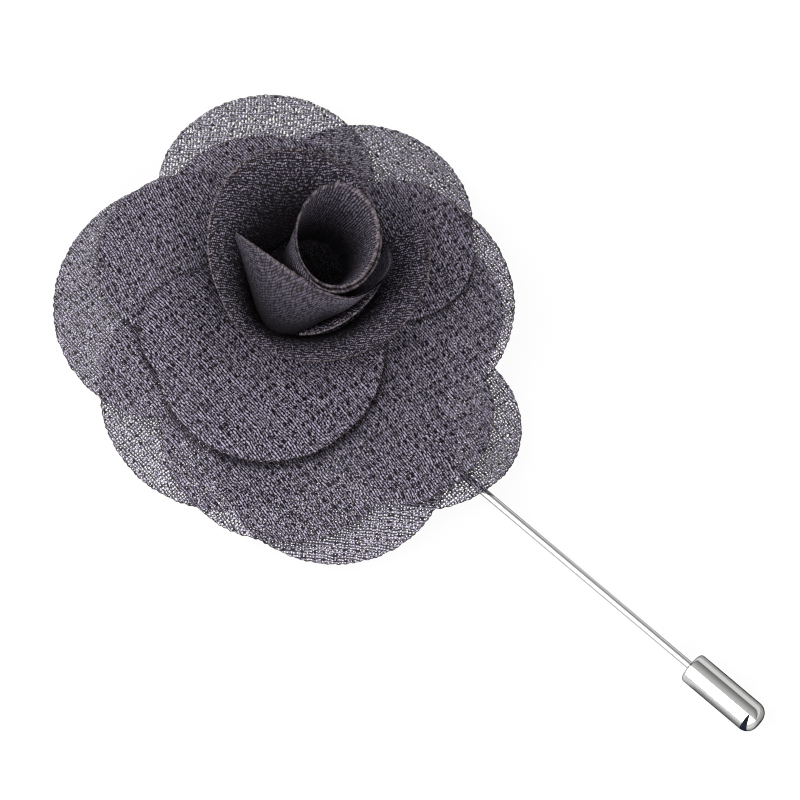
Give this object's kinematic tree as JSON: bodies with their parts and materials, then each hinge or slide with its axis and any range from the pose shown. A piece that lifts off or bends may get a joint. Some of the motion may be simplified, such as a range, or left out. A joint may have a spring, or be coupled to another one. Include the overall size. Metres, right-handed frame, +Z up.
{
  "type": "lapel pin",
  "caption": "Lapel pin: a cloth rose of layered round petals round a rolled bud, on a straight needle with a push-on metal cap.",
  "frame": {"origin": "middle of the whole pin as it lies, on the surface under it", "axes": "+X along the needle from the flower to the cap, +Z up from the surface out of the flower's face, +Y across"},
  "size_m": [0.0914, 0.0493, 0.0173],
  "materials": {
    "petal_cloth": "matte crepe knit, heather grey",
    "inner_cloth": "matte crepe knit, heather grey in shade",
    "needle_steel": "bright plated steel",
    "cap_metal": "polished plating"
  },
  "bodies": {
    "pin": {"needle": "needle_steel", "lower_petals": "petal_cloth", "second_petals": "petal_cloth", "middle_petals": "petal_cloth", "upper_petals": "petal_cloth", "front_petal": "petal_cloth", "wrapped_petal": "inner_cloth", "inner_petal": "inner_cloth", "folded_petal": "petal_cloth", "bud": "inner_cloth"},
    "cap": {"cap": "cap_metal"}
  },
  "joints": [
    {"name": "cap_slide", "type": "slide", "parent": "pin", "child": "cap", "axis": [1, 0, 0], "range_m": [0, 0.025]}
  ]
}
